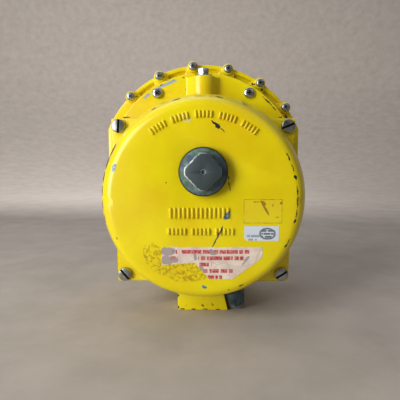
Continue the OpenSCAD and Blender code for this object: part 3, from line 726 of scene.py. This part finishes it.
class ACTUATOR_OT_lid(bpy.types.Operator):
    """Round the lid's edges and add its cast marks"""
    bl_idname = "actuator.lid"
    bl_label = "Switch cover"

    def execute(self, context):
        lid = copy_node("switch_cover", "switch_cover_enamelled")
        round_edges(lid, sizes().cast_edge, keep=lambda m, e: m.y < -89 and math.hypot(m.x, m.z) > 19)
        marks = cast_marks()
        pick(marks)
        lid.select_set(True)
        bpy.context.view_layer.objects.active = lid
        bpy.ops.object.join()
        settle(lid, "housing", "yellow_enamel", enamel("yellow_enamel_lid", lid_chips(), (), True),
               "switch_cover")
        return {"FINISHED"}


def cast_marks():
    """Rows of plain raised bars on the lid's face, where such a casting carries its markings."""
    clear()
    high, sunk = sizes().mark_height, 0.3 * MM
    made = []
    radius = sizes().mark_radius
    rows = [(-37 + 16 * g + 2.55 * i, radius, 5.8, 1.6, True) for g in range(5) for i in range(5)]
    rows += [(-27.5 + 3.7 * i, -34.5, 9.0, 1.9, False) for i in range(14)]
    rows += [(-29 + 20 * g + 3.4 * i, -50.2, 5.8, 1.7, False) for g in range(3) for i in range(5)]
    for a, at, tall, wide, curved in rows:
        if curved:
            turn = math.radians(a)
            spot = (at * math.sin(turn), 0, LID_Z + at * math.cos(turn))
        else:
            turn, spot = 0.0, (a * MM, 0, at * MM)
        bpy.ops.mesh.primitive_cube_add(size=1, location=(spot[0], FACE_Y + (sunk - high) / 2, spot[2]),
                                        rotation=(0, turn, 0))
        bar = bpy.context.object
        bar.scale = (wide * MM, high + sunk, tall * MM)
        made.append(bar)
    for bar in made:
        bar.select_set(True)
    bpy.context.view_layer.objects.active = made[0]
    bpy.ops.object.join()
    marks = place_mesh(made[0])
    modify(marks, "BEVEL", width=0.5 * MM, segments=2, limit_method="ANGLE")
    return shade(marks, 60)


def recess_shade(cutter):
    """Marks a cutter's faces, so that the walls it leaves in a screw head are painted dark with shade."""
    mark = cutter.data.attributes.new("recess_shade", "FLOAT", "FACE")
    mark.data.foreach_set("value", [1.0] * len(cutter.data.polygons))
    return cutter


def pan_screw(radius, high, shank, length):
    """A cross-recessed pan head screw on the Y axis, its seat at depth zero, in millimetres."""
    screw = facing_cylinder(radius, high * 0.5, 0, sides=40)
    front_face(screw)
    for grow, rise in ((0.95, 0.18), (0.86, 0.14), (0.78, 0.10), (0.6, 0.05)):
        bpy.ops.mesh.extrude_region_move(TRANSFORM_OT_translate={"value": (0, -rise * high * MM, 0)})
        bpy.ops.transform.resize(value=(grow, 1, grow))
    leave()
    for turn in (0, 90):
        reach, half = radius * 0.5, radius * 0.08
        arm = block((-reach, -high * 1.2, -half), (reach, -high * 0.42, half))
        arm.rotation_euler = (0, math.radians(turn + 45), 0)
        cut(screw, recess_shade(place_mesh(arm)))
    well = facing_cylinder(radius * 0.17, high * 1.3, high * 0.3, sides=16)
    cut(screw, recess_shade(well))
    stem = facing_cylinder(shank, 0.2, -length, sides=20)
    cut(screw, stem, "UNION")
    return shade(screw, 40)


def slotted_screw(radius, high, shank, length):
    """A slotted cheese head screw on the Y axis, its seat at depth zero, in millimetres."""
    screw = facing_cylinder(radius, high * 0.8, 0, sides=48)
    front_face(screw)
    for grow, rise in ((0.95, 0.12), (0.88, 0.08)):
        bpy.ops.mesh.extrude_region_move(TRANSFORM_OT_translate={"value": (0, -rise * high * MM, 0)})
        bpy.ops.transform.resize(value=(grow, 1, grow))
    leave()
    slot = block((-1.0, -high - 1, -radius - 1), (1.0, -high * 0.45, radius + 1))
    cut(screw, recess_shade(slot))
    stem = facing_cylinder(shank, 0.2, -length, sides=24)
    cut(screw, stem, "UNION")
    return shade(screw, 40)


class ACTUATOR_OT_casing_screws(bpy.types.Operator):
    """Make the cross-recessed screws round the flange and on the raised face"""
    bl_idname = "actuator.casing_screws"
    bl_label = "Casing screws"

    def execute(self, context):
        dull = metal("dull_zinc_plated_steel", srgb("#b0b5b9"), srgb("#6c7178"),
                     0.34, 0.95, 0.9, 0.3, 0.25)
        bright = metal("bright_zinc_plated_steel", srgb("#c4c9ca"), srgb("#8f9596"),
                       0.24, 1.0, 0.9, 0.2, 0.2)
        for node, dims, seat, material in (
            ("casing_screws", (4.0, 3.2, 2.5, 27.9), LEDGE_Y, dull),
            ("blanking_screws", (5.0, 3.7, 2.5, 4.9), RAISED_Y, bright),
        ):
            at = islands(node, dims[0])
            turns = [(i * 37) % 90 for i in range(len(at))]
            screws = spread(pan_screw(*dims), [(x, seat, z) for x, z in at], turns, node + "_recessed")
            settle(screws, "housing", "zinc_plate", material, node)
        return {"FINISHED"}


class ACTUATOR_OT_cover_screws(bpy.types.Operator):
    """Make the slotted screws that hold the cover"""
    bl_idname = "actuator.cover_screws"
    bl_label = "Cover screws"

    def execute(self, context):
        worn = metal("scuffed_zinc_plated_steel", srgb("#b4b8b6"), srgb("#777c78"),
                     0.32, 1.0, 0.8, 0.35, 0.16)
        at = islands("cover_screws", 6.2)
        slots = {(False, True): 3, (True, True): 68, (False, False): -40, (True, False): 58}
        turns = [slots[x > 0, z > 0] for x, z in at]
        screws = spread(slotted_screw(6.2, 3.6, 3.0, 14.4), [(x, EAR_Y, z) for x, z in at], turns,
                        "cover_screws_slotted")
        settle(screws, "housing", "zinc_plate", worn, "cover_screws")
        return {"FINISHED"}


class ACTUATOR_OT_hardware(bpy.types.Operator):
    """Chamfer the plug, the earth bolt, the stop screws and the lug"""
    bl_idname = "actuator.hardware"
    bl_label = "Plug, bolts and lug"

    def execute(self, context):
        zinc = metal("zinc_plated_plug", srgb("#c9cfd2"), srgb("#7f8a92"), 0.28, 0.9, 0.6, 0.2, 0.1)
        black = metal("black_oxide_steel", srgb("#43545a"), srgb("#232c30"), 0.42, 0.7, 0.7, 0.3, 0.12,
                      srgb("#4a5a60"))
        cast = metal("as_cast_zinc", srgb("#8d8f88"), srgb("#6b6c64"), 0.55, 0.8, 0.7, 0.4, 0.1)
        for node, material, slot, width in (
            ("top_plug", zinc, "zinc_plate", 0.5),
            ("top_plug_washer", zinc, "zinc_plate", 0.3),
            ("earth_bolt", black, "black_oxide_steel", 0.9),
            ("earth_lug", cast, "bare_zinc_casting", 0.5),
            ("stop_screws", black, "black_oxide_steel", 0.4),
            ("stop_locknuts", zinc, "zinc_plate", 0.4),
        ):
            piece = copy_node(node, node + "_finished")
            round_edges(piece, width * MM, 2)
            settle(piece, "housing", slot, material, node)
        return {"FINISHED"}


class ACTUATOR_OT_shafts(bpy.types.Operator):
    """Round the edges of the spindle and the drive shaft and scrape them bright"""
    bl_idname = "actuator.shafts"
    bl_label = "Spindle and shaft"

    def execute(self, context):
        steel = oxidised_steel()
        for node, slot in (("switch_spindle", "spindle_steel"), ("drive_shaft", "spindle_steel")):
            piece = copy_node(node, node + "_finished")
            round_edges(piece, sizes().small_edge * 1.8, 2)
            settle(piece, "shaft", slot, steel, node)
        return {"FINISHED"}


class ACTUATOR_OT_labels(bpy.types.Operator):
    """Give the two labels their ragged outline and their print"""
    bl_idname = "actuator.labels"
    bl_label = "Labels"

    def execute(self, context):
        for node, material, slot, ragged in (
            ("notice_label", notice_paper(), "notice_paper", 0.9),
            ("rating_label", sticker_vinyl(), "white_vinyl", 0.3),
        ):
            piece = copy_node(node, node + "_printed")
            tear_outline(piece, ragged)
            settle(piece, "housing", slot, material, node)
        return {"FINISHED"}


def tear_outline(piece, ragged):
    """Cuts the long edges into short ones and moves them in and out, so that the outline is torn."""
    mesh = piece.data
    edit(piece)
    bpy.ops.mesh.select_all(action="DESELECT")
    leave()
    for e in mesh.edges:
        a, b = (mesh.vertices[i].co for i in e.vertices)
        if (b - a).length > 2 * MM:
            e.select = True
            for i in e.vertices:
                mesh.vertices[i].select = True
    edit(piece)
    bpy.ops.mesh.subdivide(number_cuts=24, quadcorner="INNERVERT")
    leave()
    for v in mesh.vertices:
        x, z = v.co.x / MM, v.co.z / MM
        wobble = (math.sin(x * 1.9 + z * 1.1) + 0.7 * math.sin(x * 0.83 - z * 2.3)
                  + 0.5 * math.sin(3.1 * z + x))
        v.co.x += ragged * 0.30 * wobble * MM
        v.co.z += ragged * 0.28 * math.sin(wobble * 2.1 + x * 0.7) * MM


INSIDE = {
    "machined_steel": ("vane", "vane_side_plates", "vane_screws", "vane_pin"),
    "rubber": ("casing_seal", "vane_seal", "hub_seal", "shaft_seal_front", "shaft_seal_rear",
        "spindle_seal", "cover_gasket"),
    "bronze": ("shaft_bush_front", "shaft_bush_rear"),
    "zinc": ("base_screws", "bracket_screws", "switch_screws", "switch_bracket", "lever_open",
        "lever_closed"),
    "red": ("cam_open", "button_open", "button_closed"),
    "green": ("cam_closed",),
    "black_steel": ("cam_screws",),
    "phenolic": ("switch_open", "switch_closed"),
    "ivory": ("terminal_block",),
    "brass": ("terminal_screws",),
}


class ACTUATOR_OT_inside(bpy.types.Operator):
    """Give the mechanism inside the casing and the switch unit its finishes"""
    bl_idname = "actuator.inside"
    bl_label = "Mechanism"

    def execute(self, context):
        made = {
            "machined_steel": metal("machined_steel", srgb("#9a9c9a"), srgb("#7c7f80"), 0.3, 1.0, 1.5, 0.2),
            "zinc": metal("zinc_plated_fittings", srgb("#b9bdbb"), srgb("#8d9291"), 0.32),
            "bronze": metal("sintered_bronze", srgb("#a8793c"), srgb("#7d5527"), 0.5, 1.0, 2.0, 0.4),
            "brass": metal("plated_brass", srgb("#c9a552"), srgb("#a07e38"), 0.3),
            "black_steel": metal("blackened_grub_steel", srgb("#24282a"), srgb("#15181a"), 0.45, 0.8),
            "rubber": plastic("nitrile_rubber", srgb("#1c1c1d"), srgb("#262524"), 0.7),
            "red": plastic("red_nylon", srgb("#b22a1e"), srgb("#961f18")),
            "green": plastic("green_nylon", srgb("#1f8a43"), srgb("#176e35")),
            "phenolic": plastic("black_phenolic", srgb("#1b1a1a"), srgb("#272322"), 0.4),
            "ivory": plastic("ivory_nylon", srgb("#ddd5bd"), srgb("#cbc1a4")),
        }
        for finish_name, nodes in INSIDE.items():
            for slot in (slot for node in nodes for slot in NODES[node].material_slots):
                slot.material = made[finish_name]
        return {"FINISHED"}


class ACTUATOR_OT_stage(bpy.types.Operator):
    """Lay the floor and backdrop, and set the lights and the camera"""
    bl_idname = "actuator.stage"
    bl_label = "Stage"

    def execute(self, context):
        clear()
        bpy.ops.mesh.primitive_circle_add(vertices=96, radius=1.6, fill_type="NGON",
                                          location=(0, 0, FLOOR_Z))
        floor = place_mesh(bpy.context.object)
        floor.name = "floor"
        edit(floor, "EDGE")
        bpy.ops.mesh.select_all(action="SELECT")
        bpy.ops.mesh.region_to_loop()
        for step in range(10):
            turn = math.radians(9 * (step + 0.5))
            grow = 1 + 0.14 * math.cos(turn) / (1 + step * 0.05)
            bpy.ops.mesh.extrude_region_move(
                TRANSFORM_OT_translate={"value": (0, 0, 0.16 * math.sin(turn))})
            bpy.ops.transform.resize(value=(grow, grow, 1))
        bpy.ops.mesh.extrude_region_move(TRANSFORM_OT_translate={"value": (0, 0, 1.2)})
        bpy.ops.mesh.select_all(action="SELECT")
        bpy.ops.mesh.normals_make_consistent(inside=True)
        leave()
        shade(floor, 60)
        floor.data.materials.append(floor_paper())
        light("key", (-1.03, -0.87, 0.55), 0.85, 15.0, (1.0, 1.0, 0.98))
        light("fill", (0.75, -0.75, 0.9), 0.9, 1.0, (0.94, 0.97, 1.0))
        light("front", (-0.80, -0.85, 0.0), 0.4, 6.5, (1.0, 1.0, 1.0))
        light("top", (-0.3, 0.35, 1.35), 1.3, 5.0, (1.0, 1.0, 1.0))
        light("backdrop", (-0.5, 0.75, 1.25), 1.2, 46.0, (1.0, 1.0, 1.0), (-0.35, 2.2, 1.0))
        world = bpy.data.worlds.new("studio")
        world.use_nodes = True
        world.node_tree.nodes["Background"].inputs["Color"].default_value = srgb("#d5d8dc")
        world.node_tree.nodes["Background"].inputs["Strength"].default_value = 0.35
        context.scene.world = world
        context.scene.view_settings.view_transform = "Standard"
        lens = bpy.data.cameras.new("camera")
        lens.lens, lens.sensor_width = 33.3, 36.0
        lens.clip_start = 0.01
        camera = bpy.data.objects.new("camera", lens)
        context.scene.collection.objects.link(camera)
        camera.location = (-0.2 * MM, -439.2 * MM, 5.5 * MM)
        camera.rotation_euler = (math.radians(90 - 5.40), 0, math.radians(0.4625))
        context.scene.camera = camera
        return {"FINISHED"}


def light(name, at, width, power, tint, aim=(0, -0.1, 0)):
    lamp = bpy.data.lights.new(name, "AREA")
    lamp.size, lamp.energy, lamp.color = width, power, tint
    obj = bpy.data.objects.new(name, lamp)
    bpy.context.scene.collection.objects.link(obj)
    obj.location = at
    obj.rotation_euler = (Vector(aim) - Vector(at)).to_track_quat("-Z", "Y").to_euler()


OPERATORS = (
    ACTUATOR_OT_castings, ACTUATOR_OT_lid, ACTUATOR_OT_casing_screws, ACTUATOR_OT_cover_screws,
    ACTUATOR_OT_hardware, ACTUATOR_OT_shafts, ACTUATOR_OT_labels, ACTUATOR_OT_inside, ACTUATOR_OT_stage,
)


class ACTUATOR_PT_panel(bpy.types.Panel):
    """Lists the sizes, the colours and the pieces"""
    bl_idname = "ACTUATOR_PT_panel"
    bl_label = "Vane actuator"
    bl_space_type = "VIEW_3D"
    bl_region_type = "UI"
    bl_category = "Actuator"

    def draw(self, context):
        for group in (context.scene.actuator_sizes, context.scene.actuator_colours):
            for key in group.__annotations__:
                self.layout.prop(group, key)
        for op in OPERATORS:
            self.layout.operator(op.bl_idname)


CLASSES = (ActuatorSizes, ActuatorColours, *OPERATORS, ACTUATOR_PT_panel)


def register():
    for cls in CLASSES:
        bpy.utils.register_class(cls)
    bpy.types.Scene.actuator_sizes = bpy.props.PointerProperty(type=ActuatorSizes)
    bpy.types.Scene.actuator_colours = bpy.props.PointerProperty(type=ActuatorColours)


def unregister():
    del bpy.types.Scene.actuator_colours
    del bpy.types.Scene.actuator_sizes
    for cls in reversed(CLASSES):
        bpy.utils.unregister_class(cls)


def main():
    register()
    for op in OPERATORS:
        area, name = op.bl_idname.split(".")
        getattr(getattr(bpy.ops, area), name)()


if __name__ == "__main__":
    main()
